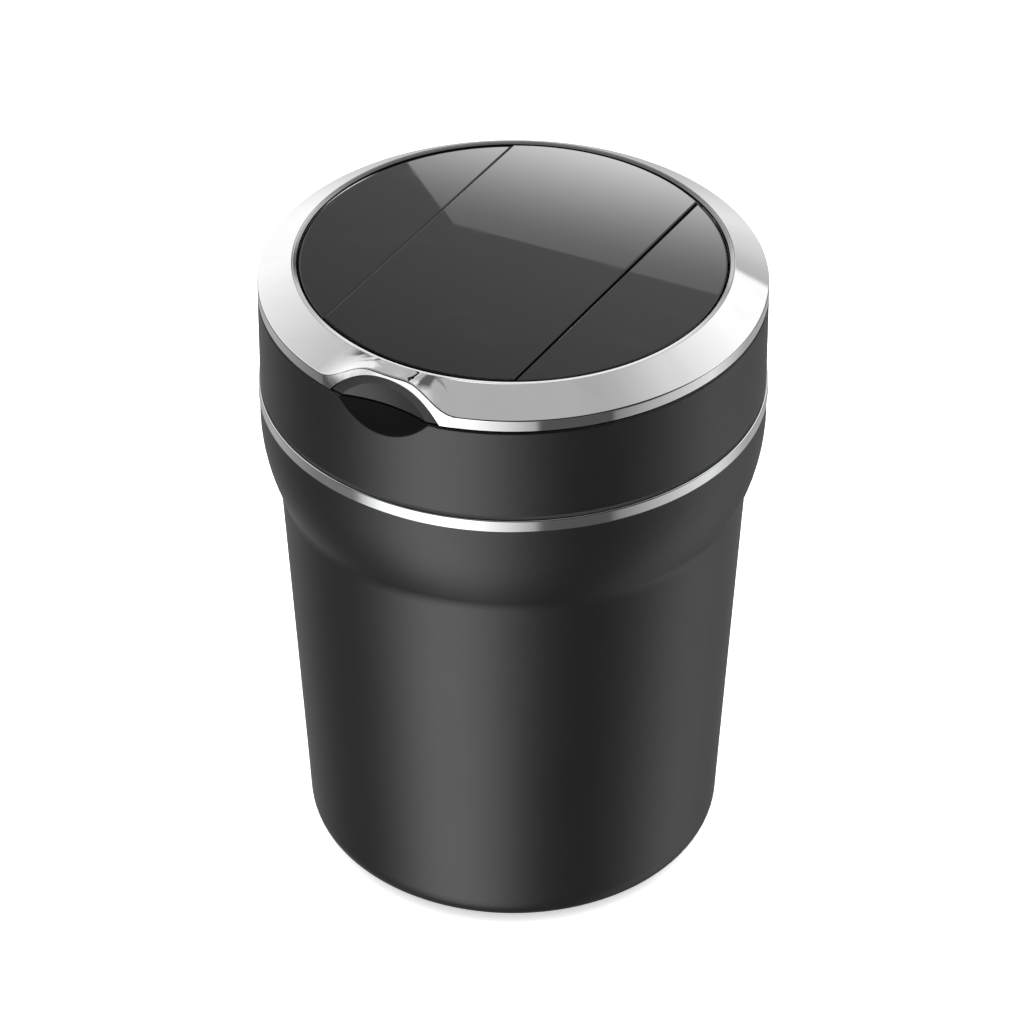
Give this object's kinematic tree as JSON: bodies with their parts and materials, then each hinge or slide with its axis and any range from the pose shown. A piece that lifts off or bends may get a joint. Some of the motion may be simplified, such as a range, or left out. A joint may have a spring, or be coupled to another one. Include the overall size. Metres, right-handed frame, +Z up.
{
  "type": "car ashtray",
  "caption": "Lidded car ashtray for a cup holder: tapered cup, chrome trim ring, twist-lock head with a snuffer tray, lift-out steel liner and a flip-up lid with a thumb lip.",
  "frame": {"origin": "on the floor under the middle of the cup", "axes": "+Z up the cup's axis, -Y towards the thumb notch, +Y towards the lid's hinge"},
  "size_m": [0.0806, 0.0806, 0.1082],
  "materials": {
    "satin_black": "satin black moulding",
    "inner_black": "fine matt moulding",
    "chrome": "bright plating",
    "gloss_black": "polished black",
    "drawn_steel": "drawn sheet",
    "soft_black": "soft matt",
    "hardware_steel": "plain steel"
  },
  "bodies": {
    "cup": {"cup_shell": "satin_black", "ash_liner": "drawn_steel", "base_pad": "soft_black", "mouth_seal": "soft_black", "trim_ring": "chrome"},
    "head": {"collar": "satin_black", "throat": "inner_black", "snuffer_tray": "drawn_steel", "hinge_pin": "hardware_steel", "hinge_spring": "hardware_steel"},
    "lid": {"lid_bezel": "chrome", "lid_pan": "inner_black", "lid_seal": "soft_black", "lid_screws": "hardware_steel", "lid_centre_panel": "gloss_black", "lid_left_panel": "gloss_black", "lid_right_panel": "gloss_black"}
  },
  "joints": [
    {"name": "head_twist", "type": "hinge", "parent": "cup", "child": "head", "pos_m": [0, 0, 0.0864], "axis": [0, 0, 1], "range_deg": [0, 40]},
    {"name": "lid_hinge", "type": "hinge", "parent": "head", "child": "lid", "pos_m": [0, 0.035, 0.1028], "axis": [-1, 0, 0], "range_deg": [0, 100], "deforming": ["hinge_spring"]}
  ]
}
